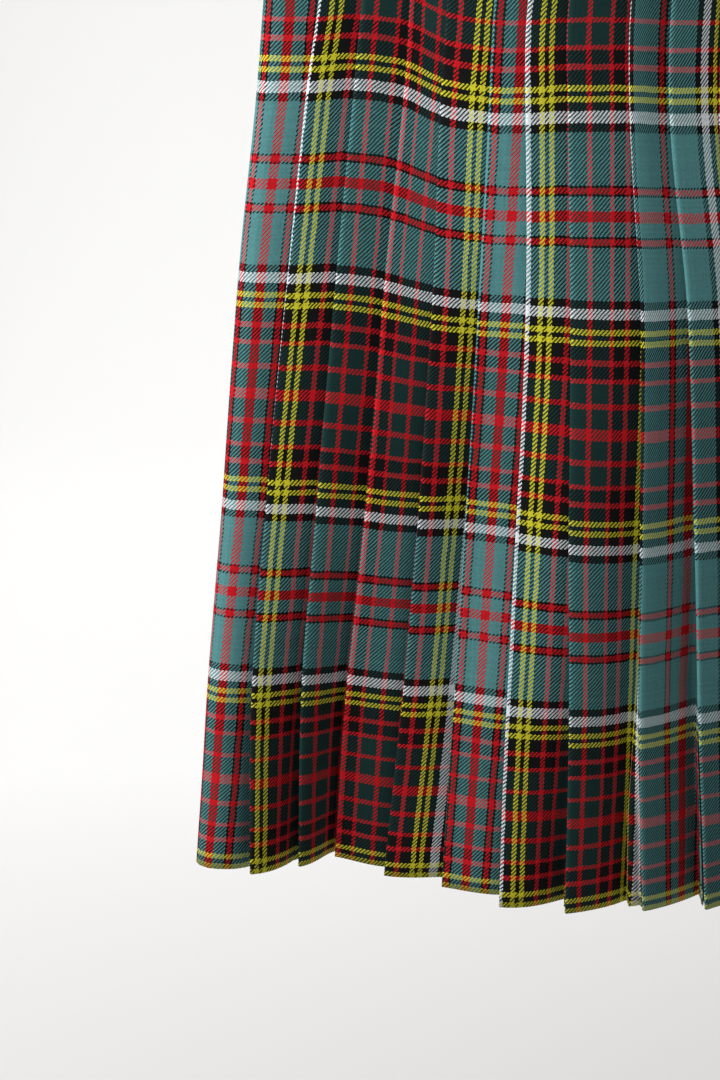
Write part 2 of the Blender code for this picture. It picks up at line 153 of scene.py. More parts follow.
def smooth_between(heights, values, height):
    last = len(heights) - 1
    height = min(max(height, heights[0]), heights[last])
    span = 0
    while span < last - 1 and height > heights[span + 1]:
        span += 1
    lo, hi = heights[span], heights[span + 1]
    part = (height - lo) / (hi - lo)

    def slope(at):
        before, after = max(at - 1, 0), min(at + 1, last)
        return (values[after] - values[before]) / (heights[after] - heights[before])

    bend = part * part * (3 - 2 * part)
    start = slope(span) * (hi - lo) * part * (1 - part) ** 2
    end = slope(span + 1) * (hi - lo) * part * part * (part - 1)
    return values[span] * (1 - bend) + values[span + 1] * bend + start + end


@lru_cache(maxsize=None)
def tube_at(down):
    """Sizes of the plain tube at one height: two long arcs joined by a small round cap at each edge."""
    downs = [section.down for section in SECTIONS]
    cap = smooth_between(downs, [section.edge_radius for section in SECTIONS], down)
    depth = smooth_between(downs, [section.half_depth for section in SECTIONS], down)
    half_width = WAIST_HALF_WIDTH + (HEM_HALF_WIDTH - WAIST_HALF_WIDTH) * down / SKIRT_LENGTH
    reach = half_width - cap
    radius = (reach ** 2 + depth ** 2 - cap ** 2) / (2 * (depth - cap))
    middle = radius - depth
    arc_angle = math.atan2(reach, middle)
    cap_length = cap * (math.pi / 2 - arc_angle)
    quarter = cap_length + radius * arc_angle
    return Tube(cap, reach, radius, middle, arc_angle, cap_length, quarter, half_width)


def oval(share, down):
    """Point on the plain tube at a share of the way round, from the left edge over the front."""
    tube = tube_at(down)
    share = share % 1.0
    behind = share > 0.5
    along = (1.0 - share if behind else share) * 4 * tube.quarter
    right = along > 2 * tube.quarter - along
    along = min(along, 2 * tube.quarter - along)
    if along < tube.cap_length:
        turn = along / tube.cap
        x, y = -tube.reach - tube.cap * math.cos(turn), -tube.cap * math.sin(turn)
    else:
        turn = tube.arc_angle - (along - tube.cap_length) / tube.radius
        x, y = -tube.radius * math.sin(turn), tube.middle - tube.radius * math.cos(turn)
    return (-x if right else x), (-y if behind else y)


@lru_cache(maxsize=None)
def fold_value(number, names, heights, down, other_half):
    """A column group of the fold table at one fold and height, in metres. The back hangs like the front.

    The right half is the left one mirrored, times other_half; None lets the last fold's values fade
    out towards the right edge instead.
    """
    number = abs(number) % PLEAT_COUNT
    number = min(number, PLEAT_COUNT - number)
    scale = 1.0
    row = number
    if number >= len(FOLDS) and other_half is None:
        row = len(FOLDS) - 1
        scale = (PANEL_PLEATS - number) / (PANEL_PLEATS - row)
    elif number >= len(FOLDS):
        row = PANEL_PLEATS - number
        scale = other_half
    values = [getattr(FOLDS[row], name) if name else 0 for name in names]
    return MM * scale * smooth_between(heights, values, down)


def between_folds(place, names, heights, down, other_half=None):
    first = math.floor(place)
    part = place - first
    a, b, c, d = (fold_value(first + step, names, heights, down, other_half) for step in (-1, 0, 1, 2))
    bend = 2 * a - 5 * b + 4 * c - d + part * (3 * (b - c) + d - a)
    return b + 0.5 * part * (c - a + part * bend)


def hang(place, down):
    """Where the cloth hangs (x, y) and how much it drops, at a place counted in pleats."""
    x, y = oval(place / PLEAT_COUNT, down)
    x += between_folds(place, SIDE_COLUMNS, SIDE_HEIGHTS, down)
    y -= between_folds(place, FORE_COLUMNS, HEIGHTS, down, SOFTER_WAVES)
    drop = between_folds(place, DROP_COLUMNS, HEIGHTS, down, 1.0)
    return x, y, drop


def spot(place, down):
    """Point of the tube's line at a place, its outward direction and its direction along, and the drop."""
    x, y, drop = hang(place, down)
    ax, ay, _ = hang(place - SIDESTEP, down)
    bx, by, _ = hang(place + SIDESTEP, down)
    along = Vector((bx - ax, by - ay)).normalized()
    return Vector((x, y)), Vector((along.y, -along.x)), along, drop


def wave_at(waves, place, down):
    steps = Vector((place * waves.per_pleat, down * waves.per_metre, waves.seed))
    return waves.height * noise.noise(steps)


def layer(down):
    """Distance from one folded layer to the next, middle to middle."""
    return LAYER_AT_WAIST + (LAYER_AT_HEM - LAYER_AT_WAIST) * (down / SKIRT_LENGTH) ** 2


def opening(down):
    """0 where the pleats are held closed, 1 at the hem."""
    if down <= SWING_STARTS:
        return 0.0
    return ((down - SWING_STARTS) / (SKIRT_LENGTH - SWING_STARTS)) ** SWING_CURVE


def swing(number, down):
    return fold_value(number, ("swing",) * 2, (WAIST, HEM), down, 1.0) * opening(down)


def lean(number, down):
    return fold_value(number, ("lean",) * 2, (WAIST, HEM), down, 0.0) * opening(down)


@lru_cache(maxsize=None)
def underlap(number, down):
    """Share of a pleat's face that its hidden underlap takes."""
    x0, y0, _ = hang(number, down)
    x1, y1, _ = hang(number + 1, down)
    face = math.hypot(math.hypot(x1 - x0, y1 - y0), 2 * layer(down) + swing(number, down))
    rise = layer(down) + swing(number + 1, down)
    left = CLOTH_PER_PLEAT - face
    share = ((left ** 2 - rise ** 2) / (2 * left) - lean(number + 1, down)) / face
    return min(max(share, LEAST_UNDERLAP), MOST_UNDERLAP)


def cloth_point(place, off, shift, down):
    """Point of the cloth that stands off the tube's line, shifted along it, and its drop."""
    point, out, along, drop = spot(place, down)
    free = min(max((down - BAND_HEIGHT) / FREE_BELOW_BAND, 0.0), 1.0)
    off += free * wave_at(RIPPLE, place, down)
    shift += free * wave_at(WAVER, place, down)
    return point + out * off + along * shift, drop


def pleat_columns(number, first, last, down):
    """Points of one pleat from the hidden fold before it to the one after, as (point, drop, part)."""
    gap = layer(down)
    turn = gap / 2
    opened = swing(number, down)
    x0, y0, _ = hang(number, down)
    x1, y1, _ = hang(number + 1, down)
    turn_share = turn / math.hypot(x1 - x0, y1 - y0)
    seam_share = SEAM_ALLOWANCE * PLEAT_COUNT / (4 * tube_at(down).half_width)
    before = underlap(number - 1, down) + (seam_share if number == first else -turn_share)
    after = underlap(number, down) + (seam_share if number + 1 == last else -turn_share)
    columns = []

    def add(share, off, part, shift=0.0):
        point, drop = cloth_point(number + share, off, shift, down)
        columns.append((point, drop, part))

    leaning = lean(number, down)
    for part in RETURN_PARTS:
        share = turn_share + (before - turn_share) * part
        off = gap * (1 - 2 * share) + opened * max(1 - share / (before + turn_share), 0.0)
        add(share, off, "return", leaning * (1 - part))
    for angle in EDGE_ANGLES:
        a = math.radians(angle)
        add(turn_share, 1.5 * gap + opened + turn * math.sin(a), "edge", leaning - turn * math.cos(a))
    rise = 2 * gap + opened
    crown = CROWN * (CROWN_WHEN_CLOSED + (1 - CROWN_WHEN_CLOSED) * opening(down))
    for part in FACE_PARTS:
        share = turn_share + (1 - turn_share) * part
        bulge = crown * math.sin(math.pi * part) ** CROWN_FULLNESS if 0 < part < 1 else 0.0
        add(share, rise * (1 - share) + bulge, "face", leaning * (1 - share))
    for part in UNDER_PARTS:
        share = after * part
        add(1 + share, -2 * gap * share, "under")
    if number + 1 < last:
        for angle in HIDDEN_ANGLES:
            a = math.radians(angle)
            add(1 + after, gap * (0.5 - 2 * after) + turn * math.sin(a), "under", turn * math.cos(a))
    return columns


def pleat_threads(number, first, down):
    """Warp thread on a fold's edge at a height, how close the threads lie there, and how many run early."""
    if first == SEAM_FOLD:
        rows, step = FRONT_THREADS, number - first
    else:
        rows, step = BACK_THREADS, number - PLEAT_COUNT
    nearest = min(max(step, 0), len(rows) - 1)
    known = rows[nearest]
    low = min(max((down - HIP) / (HEM - HIP), 0.0), 1.0)
    edge = known.edge_hip + (known.edge_hem - known.edge_hip) * low
    if step != nearest:
        return edge + THREADS_PER_PLEAT * (step - nearest), 1.0, 0.0
    crowd = known.crowd_hem + (known.crowd_hip - known.crowd_hem) * (1 - low) ** 2
    return edge, crowd, known.early


def threads_along(points, kinds, first, down):
    """Warp thread at each point of a panel's line: even on the faces, the rest is taken up in the folds."""
    lengths = [0.0]
    for at in range(1, len(points)):
        lengths.append(lengths[-1] + (points[at] - points[at - 1]).length)
    to_the_tip = ["return", "edge", "edge", "edge"]
    tips = [at for at in range(len(kinds)) if kinds[at - 3:at + 1] == to_the_tip]
    threads = [0.0] * len(points)
    for order, tip in enumerate(tips):
        number = first + order
        start, crowd, early = pleat_threads(number, first, down)
        goal = pleat_threads(number + 1, first, down)[0]
        stop = tips[order + 1] if order + 1 < len(tips) else len(points)
        face_end = tip
        while face_end + 1 < len(points) and kinds[face_end + 1] in ("edge", "face"):
            face_end += 1
        face_length = lengths[face_end] - lengths[tip]
        for at in range(tip, stop):
            run = lengths[at] - lengths[tip]
            thread = start + crowd * run / WARP_STEP
            if at <= face_end:
                thread += early * math.sin(math.pi * run / face_length)
            elif order + 1 < len(tips):
                reached = start + crowd * face_length / WARP_STEP
                part = (run - face_length) / (lengths[stop] - lengths[face_end])
                thread = reached + (goal - reached) * part
            threads[at] = thread
    for at in range(tips[0]):
        threads[at] = threads[tips[0]] - (lengths[tips[0]] - lengths[at]) / WARP_STEP
    return threads


def piece_of(name, mesh):
    """Object of a mesh, with its four-sided faces shaded smooth."""
    piece = bpy.data.objects.new(name, mesh)
    bpy.context.scene.collection.objects.link(piece)
    for polygon in mesh.polygons:
        polygon.use_smooth = len(polygon.vertices) == 4
    return piece


def cloth_piece(name, vertices, faces, laid, pressed):
    """Piece of cloth, with each vertex's warp and weft thread as a UV map and its pressed folds marked for
    a painted highlight with some wear.
    """
    mesh = bpy.data.meshes.new(name)
    mesh.from_pydata(vertices, [], faces)
    uv = mesh.uv_layers.new(name="threads")
    flat = []
    for loop in mesh.loops:
        flat.extend(laid[loop.vertex_index])
    uv.data.foreach_set("uv", flat)
    # The pressed folds are marked for a painted highlight, with some wear, in the cloth's colour
    highlight_and_wear = mesh.attributes.new("pressed", "FLOAT", "POINT")
    highlight_and_wear.data.foreach_set("value", pressed)
    mesh.update()
    return piece_of(name, mesh)


def shell_faces(rows, count):
    """Faces of a closed shell whose outer grid of points comes before its inner grid."""
    inside = rows * count
    faces = []
    for row in range(rows - 1):
        for at in range(count - 1):
            a, b = row * count + at, (row + 1) * count + at
            faces.append((a, b, b + 1, a + 1))
            faces.append((inside + a, inside + a + 1, inside + b + 1, inside + b))
    for at in range(count - 1):
        low = (rows - 1) * count + at
        faces.append((low, inside + low, inside + low + 1, low + 1))
        faces.append((at, at + 1, inside + at + 1, inside + at))
    for row in range(rows - 1):
        a, b = row * count, (row + 1) * count
        faces.append((a, inside + a, inside + b, b))
        a, b = a + count - 1, b + count - 1
        faces.append((a, b, inside + b, inside + a))
    return faces


def pleated_cloth(name, first):
    last = first + PANEL_PLEATS
    top = BAND_HEIGHT - SUNK_IN_BAND
    turned = SKIRT_LENGTH - HEM_TURNED
    downs = [top + (SKIRT_LENGTH - top) * row / PANEL_ROWS for row in range(PANEL_ROWS + 1)]
    downs = [down for down in downs if abs(down - turned) > CLEAR_OF_HEM_ROWS]
    downs = sorted(downs + [turned + step for step in HEM_ROWS])
    hem_pick = WHITE_LINE_PICK + (SKIRT_LENGTH - WHITE_LINE_DOWN) / WEFT_STEP
    outer, inner, outer_laid, inner_laid = [], [], [], []
    for down in downs:
        columns = []
        for number in range(first, last):
            columns += pleat_columns(number, first, last, down)
        points = [column[0] for column in columns]
        kinds = [column[2] for column in columns]
        pick = WHITE_LINE_PICK + (down - WHITE_LINE_DOWN) / WEFT_STEP
        inner_pick = 2 * hem_pick - pick if down > turned else pick
        for thread in threads_along(points, kinds, first, down):
            outer_laid.append((thread, pick))
            inner_laid.append((thread, inner_pick))
        inner_half = CLOTH / 2 + (HEM_EXTRA if down > turned else 0.0)
        for at, (point, drop, _) in enumerate(columns):
            back = (point - points[max(at - 1, 0)]) if at else points[1] - point
            ahead = (points[at + 1] - point) if at + 1 < len(points) else back
            along = (back.normalized() + ahead.normalized()).normalized()
            side = Vector((along.y, -along.x))
            out, into = point + side * CLOTH / 2, point - side * inner_half
            outer.append((out.x, out.y, -down - drop))
            inner.append((into.x, into.y, -down - drop))
    # Outer fold edges, marked for a painted highlight with some wear
    pressed = [1.0 if "edge" in kinds[max(at - 1, 0):at + 1] else 0.0 for at in range(len(kinds))]
    return cloth_piece(name, outer + inner, shell_faces(len(downs), len(kinds)),
                       outer_laid + inner_laid, pressed * (2 * len(downs)))


# Colours of the check from the middle of its broad red line out to the other broad red line
RED, GREEN, BLACK = (0.465, 0.0055, 0.011), (0.006, 0.026, 0.024), (0.003, 0.0034, 0.0036)
YELLOW, WHITE, BLUE = (0.50, 0.47, 0.022), (0.54, 0.58, 0.60), (0.070, 0.200, 0.205)
STRIPES = (
    (4, RED), (14, GREEN), (4, RED), (14, GREEN), (4, RED),
    (9, BLACK), (4, RED), (10, BLACK),
    (4, YELLOW), (4, BLACK), (4, YELLOW), (6, BLACK), (8, WHITE), (6, BLACK),
    (36, BLUE), (2, BLACK), (4, RED), (2, BLACK), (10, BLUE), (4, RED),
)
HALF_CHECK = sum(threads for threads, _ in STRIPES)
FIRST_MIDDLE = 89

# How the twill is drawn: four threads to a repeat, of which the warp is on top at two. The yarns
# wander a little and differ in tone; they are lightest where they stand highest, with painted shade
# lower down, and a painted highlight, with some wear, lightens them along pressed edges
TWILL_REPEAT = 4.0
WARP_ON_TOP = 1.5
TWILL_CONTRAST = 0.97
ENDS_PER_THREAD = 1.2
FLOAT_RISE = 0.45
THREAD_WANDER = 1.8
WANDER_SCALE, WANDER_DETAIL = 170.0, 3.0
YARN_TONE, WARP_SEED, WEFT_SEED = 0.22, 5.3, 31.7
CLOUD_TONE, CLOUD_SCALE, CLOUD_DETAIL = 0.20, 55.0, 4.0
FLUFF_TONE, FLUFF_SCALE, FLUFF_DETAIL = 0.36, 900.0, 2.0
# Painted shade by yarn height: how much lighter the highest yarn is than the lowest, and the lowest yarn's
# tone
PAINTED_SHADE_RANGE, PAINTED_SHADE_LOWEST = 0.30, 0.76
# Painted highlight, with some wear: how much lighter the cloth is along pressed edges
PRESSED_HIGHLIGHT_AND_WEAR = 0.12
YARN_THICK = 0.15 * MM


def tartan_cloth(name):
    """Two-up two-down twill of coloured threads, read from the piece's own map of its threads."""
    material = bpy.data.materials.new(name)
    material.use_nodes = True
    nodes, links = material.node_tree.nodes, material.node_tree.links
    shader = nodes["Principled BSDF"]

    def math_node(operation, *inputs):
        node = nodes.new("ShaderNodeMath")
        node.operation = operation
        for at, value in enumerate(inputs):
            if isinstance(value, (int, float)):
                node.inputs[at].default_value = value
            else:
                links.new(value, node.inputs[at])
        return node.outputs[0]

    def add(one, other):
        return math_node("ADD", one, other)

    def subtract(one, other):
        return math_node("SUBTRACT", one, other)

    def multiply(one, other):
        return math_node("MULTIPLY", one, other)

    def mix(data_type, factor, one, other):
        node = nodes.new("ShaderNodeMix")
        node.data_type = data_type
        links.new(factor, node.inputs["Factor"])
        links.new(one, node.inputs["A"])
        links.new(other, node.inputs["B"])
        return node.outputs["Result"]

    def noise_texture(scale, detail):
        node = nodes.new("ShaderNodeTexNoise")
        node.inputs["Scale"].default_value = scale
        node.inputs["Detail"].default_value = detail
        links.new(place.outputs["Object"], node.inputs["Vector"])
        return node.outputs

    def varied(value, amount):
        """1 on average, and more or less by up to half the amount."""
        return add(multiply(value, amount), 1 - amount / 2)

    def yarn_tone(thread, seed):
        grain = nodes.new("ShaderNodeTexWhiteNoise")
        grain.noise_dimensions = "1D"
        links.new(add(thread, seed), grain.inputs["W"])
        return varied(grain.outputs["Value"], YARN_TONE)

    def stripe_colour(yarn):
        thread = math_node("DIVIDE", add(yarn, 0.5), ENDS_PER_THREAD)
        from_middle = math_node("PINGPONG", subtract(thread, FIRST_MIDDLE), HALF_CHECK)
        ramp = nodes.new("ShaderNodeValToRGB")
        stops = ramp.color_ramp.elements
        ramp.color_ramp.interpolation = "CONSTANT"
        while len(stops) > 1:
            stops.remove(stops[-1])
        reached = 0
        for order, (threads, colour) in enumerate(STRIPES):
            stop = stops.new(reached / HALF_CHECK) if order else stops[0]
            stop.position = reached / HALF_CHECK
            stop.color = (*colour, 1.0)
            reached += threads
        links.new(math_node("DIVIDE", from_middle, HALF_CHECK), ramp.inputs["Fac"])
        return ramp.outputs["Color"]

    def rounded(across):
        """1 in the middle of a yarn, 0 at its sides."""
        side = subtract(multiply(math_node("FRACT", across), 2.0), 1.0)
        return subtract(1.0, multiply(side, side))

    def risen(phase):
        """How high a yarn stands along its float."""
        float_middle = math_node("SINE", multiply(phase, 2 * math.pi / TWILL_REPEAT))
        return add(multiply(float_middle, FLOAT_RISE), 1 - FLOAT_RISE)

    place = nodes.new("ShaderNodeTexCoord")
    laid = nodes.new("ShaderNodeUVMap")
    laid.uv_map = "threads"
    split = nodes.new("ShaderNodeSeparateXYZ")
    links.new(laid.outputs["UV"], split.inputs[0])
    astray = nodes.new("ShaderNodeSeparateColor")
    links.new(noise_texture(WANDER_SCALE, WANDER_DETAIL)["Color"], astray.inputs[0])
    shift_u = multiply(subtract(astray.outputs[0], 0.5), THREAD_WANDER)
    shift_v = multiply(subtract(astray.outputs[1], 0.5), THREAD_WANDER)
    u = multiply(add(split.outputs["X"], shift_u), ENDS_PER_THREAD)
    v = multiply(add(split.outputs["Y"], shift_v), ENDS_PER_THREAD)
    warp, weft = math_node("FLOOR", u), math_node("FLOOR", v)
    order = math_node("FLOORED_MODULO", add(warp, weft), TWILL_REPEAT)
    warp_over = math_node("LESS_THAN", order, WARP_ON_TOP)

    warp_phase = math_node("FLOORED_MODULO", add(warp, v), TWILL_REPEAT)
    weft_phase = subtract(math_node("FLOORED_MODULO", add(u, weft), TWILL_REPEAT), TWILL_REPEAT / 2)
    warp_height = multiply(rounded(u), risen(warp_phase))
    weft_height = multiply(rounded(v), risen(weft_phase))
    height = math_node("MAXIMUM", mix("FLOAT", warp_over, weft_height, warp_height), 0.0)

    on_top = add(multiply(warp_over, TWILL_CONTRAST), (1 - TWILL_CONTRAST) / 2)
    colour = mix("RGBA", on_top, stripe_colour(weft), stripe_colour(warp))
    pressed = nodes.new("ShaderNodeAttribute")
    pressed.attribute_name = "pressed"
    tone = mix("FLOAT", warp_over, yarn_tone(weft, WEFT_SEED), yarn_tone(warp, WARP_SEED))
    tone = multiply(tone, varied(noise_texture(CLOUD_SCALE, CLOUD_DETAIL)["Fac"], CLOUD_TONE))
    tone = multiply(tone, varied(noise_texture(FLUFF_SCALE, FLUFF_DETAIL)["Fac"], FLUFF_TONE))
    # Painted shade: the yarns darken where they stand lower, at their sides and where they dip under
    tone = multiply(tone, add(multiply(height, PAINTED_SHADE_RANGE), PAINTED_SHADE_LOWEST))
    # Painted highlight, with some wear: lighter along the pressed edges and the band's rounded top
    tone = multiply(tone, add(multiply(pressed.outputs["Fac"], PRESSED_HIGHLIGHT_AND_WEAR), 1.0))
    shade = nodes.new("ShaderNodeVectorMath")
    shade.operation = "SCALE"
    links.new(colour, shade.inputs[0])
    links.new(tone, shade.inputs["Scale"])
    links.new(shade.outputs["Vector"], shader.inputs["Base Color"])

    bump = nodes.new("ShaderNodeBump")
    bump.inputs["Strength"].default_value = 0.12
    bump.inputs["Distance"].default_value = YARN_THICK
    links.new(height, bump.inputs["Height"])
    links.new(bump.outputs["Normal"], shader.inputs["Normal"])
    shader.inputs["Roughness"].default_value = 0.86
    shader.inputs["Specular IOR Level"].default_value = 0.10
    shader.inputs["Sheen Weight"].default_value = 0.03
    shader.inputs["Sheen Roughness"].default_value = 0.45
    return material


tartan = tartan_cloth("tartan_wool_twill")
front_cloth = pleated_cloth("front_cloth", SEAM_FOLD)
front_cloth.data.materials.append(tartan)
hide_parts("front")
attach(front_cloth, "root")


# Back panel: cut and pleated like the front, and seamed to it inside a pleat at each side.
# It comes round the left edge to the third pleat that shows in the photograph's view.

back_cloth = pleated_cloth("back_cloth", SEAM_FOLD + PANEL_PLEATS)
back_cloth.data.materials.append(tartan)
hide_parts("back")
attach(back_cloth, "root")


# Waistband: a straight strip of the same cloth, folded over a stiffening at its top edge and sewn
# over the pleats' tops, with a line of stitches along both edges. One end laps over the other.

BAND_INSIDE = 3.4 * MM
BAND_OUTSIDE = 3.7 * MM
BAND_TOP_INSIDE = 1.0 * MM
BAND_TOP_OUTSIDE = 2.2 * MM
BAND_TURN_IN = 0.5 * MM
BAND_SHOULDER = 7.0 * MM
BAND_EDGE_DRAWN_IN = 0.35 * MM
BAND_EDGE_ROUND = 0.5 * MM
# Height of the band's rounded top that gets the painted highlight with some wear
BAND_HIGHLIGHT_AND_WEAR_ABOVE = 1.5 * MM
BAND_WAVE = Waves(0.25 * MM, 0.6, 40, 4.0)
BAND_PICK = 242
LAP_PLEATS = 2
LAP_CLOTH = 2.4 * MM
LAP_BLEND = 0.8
SEAM_GAP = 0.3 * MM
STITCH_LINES = (2.6 * MM, 29.6 * MM)
STITCH_DENT = 0.28 * MM
STITCH_DENT_WIDTH = 0.9 * MM

# The band's section: heights down its outside in millimetres, and angles over its rounded top
SIDE_DOWNS = (32.0, 31.7, 31.0, 29.6, 28.2, 25.0, 21.0, 17.0, 13.0, 9.5, 6.5, 4.4, 2.6, 1.6)
TOP_ANGLES = (25, 50, 75, 105, 130, 155)
TOP_ROUND = 1.1

# Sections along the band, in pleats; its two ends are thinned at their last three sections
BAND_STEPS_PER_PLEAT = 8
OUTER_END_STEPS = (0.0, 0.012, 0.036)
UNDER_END_STEPS = (0.04, 0.012, 0.0)
END_THINNED = (0.55, 0.85, 0.97)

band_start = SEAM_FOLD + PANEL_PLEATS
band_end = band_start + PLEAT_COUNT


def band_profile():
    """Points of the band's section as (side from +1 outside to -1 inside, down)."""
    outside = [(1.0, down * MM) for down in SIDE_DOWNS]
    over = []
    for angle in TOP_ANGLES:
        turn = math.radians(angle)
        over.append((math.cos(turn), (TOP_ROUND - TOP_ROUND * math.sin(turn)) * MM))
    inside = [(-1.0, down) for _, down in reversed(outside)]
    return outside + over + inside


def band_offsets(down, thicker, under):
    """How far the band's outer and inner side stand off the tube's line at a height."""
    low = min(down / BAND_SHOULDER, 1.0)
    outer = BAND_TOP_OUTSIDE + (BAND_OUTSIDE - BAND_TURN_IN - BAND_TOP_OUTSIDE) * low
    outer += BAND_TURN_IN * max(down - BAND_SHOULDER, 0.0) / (BAND_HEIGHT - BAND_SHOULDER)
    inner = -BAND_TOP_INSIDE - (BAND_INSIDE - BAND_TOP_INSIDE) * low - thicker
    if under:
        outer = -BAND_INSIDE - SEAM_GAP
        inner = outer - LAP_CLOTH
    near_stitches = sum(math.exp(-((down - line) / STITCH_DENT_WIDTH) ** 2) for line in STITCH_LINES)
    near_edge = math.exp(-((down - BAND_HEIGHT) / BAND_EDGE_ROUND) ** 2)
    drawn_in = near_stitches * STITCH_DENT + near_edge * BAND_EDGE_DRAWN_IN
    return outer - drawn_in, inner + drawn_in


def band_stations():
    """Places of the band's sections, each with whether it is on the end that lies under the other."""
    inset = SEAM_GAP * PLEAT_COUNT / (4 * WAIST_HALF_WIDTH)
    stations = [(band_start + step, False) for step in OUTER_END_STEPS]
    for at in range(1, PLEAT_COUNT * BAND_STEPS_PER_PLEAT):
        stations.append((band_start + at / BAND_STEPS_PER_PLEAT, False))
    stations += [(band_end - 2 * inset, False), (band_end - inset, True)]
    for at in range(LAP_PLEATS * BAND_STEPS_PER_PLEAT):
        stations.append((band_end + at / BAND_STEPS_PER_PLEAT, True))
    return stations + [(band_end + LAP_PLEATS - step, True) for step in UNDER_END_STEPS]


def band_cloth():
    stations = band_stations()
    profile = band_profile()
    half_pick = BAND_HEIGHT / 2 / WEFT_STEP
    picks = []
    for side, down in profile:
        pick = BAND_PICK + down / WEFT_STEP - half_pick
        picks.append(pick if side >= 0 else 2 * (BAND_PICK - half_pick) - pick)
    vertices, laid = [], []
    walked, last_point = 0.0, None
    for order, (place, under) in enumerate(stations):
        blend = min(max((place - (band_end - LAP_BLEND)) / (LAP_BLEND / 2), 0.0), 1.0)
        thicker = 0.0 if under else (LAP_CLOTH + SEAM_GAP) * blend
        from_end = min(order, len(stations) - 1 - order)
        full = END_THINNED[from_end] if from_end < len(END_THINNED) else 1.0
        centre = spot(place, BAND_HEIGHT / 2)[0]
        if last_point is not None:
            walked += (centre - last_point).length
        last_point = centre
        for (side, down), pick in zip(profile, picks):
            point, out, _, drop = spot(place, down)
            outer, inner = band_offsets(down, thicker, under)
            middle, half = (outer + inner) / 2, (outer - inner) / 2 * full
            point += out * (middle + half * side + wave_at(BAND_WAVE, place, down))
            vertices.append((point.x, point.y, -down - drop))
            laid.append((walked / WARP_STEP, pick))
    count = len(profile)
    last_ring = (len(stations) - 1) * count
    faces = []
    for a in range(0, last_ring, count):
        b = a + count
        for at in range(count):
            ahead = (at + 1) % count
            faces.append((a + at, b + at, b + ahead, a + ahead))
    faces.append(tuple(range(count)))
    faces.append(tuple(last_ring + at for at in reversed(range(count))))
    # The band's rounded top is marked for the same painted highlight with some wear
    pressed = [1.0 if down < BAND_HIGHLIGHT_AND_WEAR_ABOVE else 0.0 for _, down in profile]
    return cloth_piece("waistband_cloth", vertices, faces, laid, pressed * len(stations))


waistband_cloth = band_cloth()
waistband_cloth.data.materials.append(tartan)
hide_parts("waistband")
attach(waistband_cloth, "root")


# Waistband stitches: one line of plain machine stitching along each edge of the band's outside,
# in dark thread. Each stitch is a short bar of thread that lies sunk in the cloth.

STITCH_LENGTH = 2.6 * MM
STITCH_STEP = 3.6 * MM
STITCH_THICK = 0.42 * MM
STITCH_SIDES = 6
STITCH_GIRTHS = ((0.0, 0.35), (0.15, 0.9), (0.5, 1.0), (0.85, 0.9), (1.0, 0.35))
STITCH_SUNK = 0.6

# In pleats: how far the lines stay from the band's ends, and a step that measures a pleat's width
CLEAR_OF_ENDS = 0.10
SHORT_WAY = 0.05


def mottled(name, roughness, scale, detail, dark, light):
    """Material whose colour goes over a fine noise from dark to light, each a (position, colour)."""
    material = bpy.data.materials.new(name)
    material.use_nodes = True
    nodes, links = material.node_tree.nodes, material.node_tree.links
    shader = nodes["Principled BSDF"]
    shader.inputs["Roughness"].default_value = roughness
    place = nodes.new("ShaderNodeTexCoord")
    grain = nodes.new("ShaderNodeTexNoise")
    grain.inputs["Scale"].default_value = scale
    grain.inputs["Detail"].default_value = detail
    tints = nodes.new("ShaderNodeValToRGB")
    for stop, (position, colour) in zip(tints.color_ramp.elements, (dark, light)):
        stop.position = position
        stop.color = (*colour, 1.0)
    links.new(place.outputs["Object"], grain.inputs["Vector"])
    links.new(grain.outputs["Fac"], tints.inputs["Fac"])
    links.new(tints.outputs["Color"], shader.inputs["Base Color"])
    return material


def stitch_row(name, ends):
    """Bars of thread, each a small spindle from a start to an end point, with its outward direction."""
    vertices, faces = [], []
    corners = range(STITCH_SIDES)
    for start, end, outward in ends:
        across = (end - start).normalized().cross(outward).normalized()
        base = len(vertices)
        for share, girth in STITCH_GIRTHS:
            sink = (1.0 - girth) * STITCH_THICK * STITCH_SUNK
            centre = start.lerp(end, share) - outward * sink
            for corner in corners:
                turn = corner * 2 * math.pi / STITCH_SIDES
                ray = across * math.cos(turn) + outward * math.sin(turn)
                vertices.append(centre + ray * STITCH_THICK / 2 * girth)
        tip = len(vertices) - STITCH_SIDES
        for a in range(base, tip, STITCH_SIDES):
            b = a + STITCH_SIDES
            for corner in corners:
                ahead = (corner + 1) % STITCH_SIDES
                faces.append((a + corner, b + corner, b + ahead, a + ahead))
        faces.append(tuple(base + corner for corner in corners))
        faces.append(tuple(tip + corner for corner in reversed(corners)))
    mesh = bpy.data.meshes.new(name)
    mesh.from_pydata(vertices, [], faces)
    shell = bmesh.new()
    shell.from_mesh(mesh)
    bmesh.ops.recalc_face_normals(shell, faces=shell.faces)
    shell.to_mesh(mesh)
    shell.free()
    return piece_of(name, mesh)


def on_band(place, down):
    """Point of the band's outside and its outward direction."""
    point, out, _, drop = spot(place, down)
    point += out * (band_offsets(down, 0.0, False)[0] + wave_at(BAND_WAVE, place, down))
    return Vector((point.x, point.y, -down - drop)), Vector((out.x, out.y, 0.0))


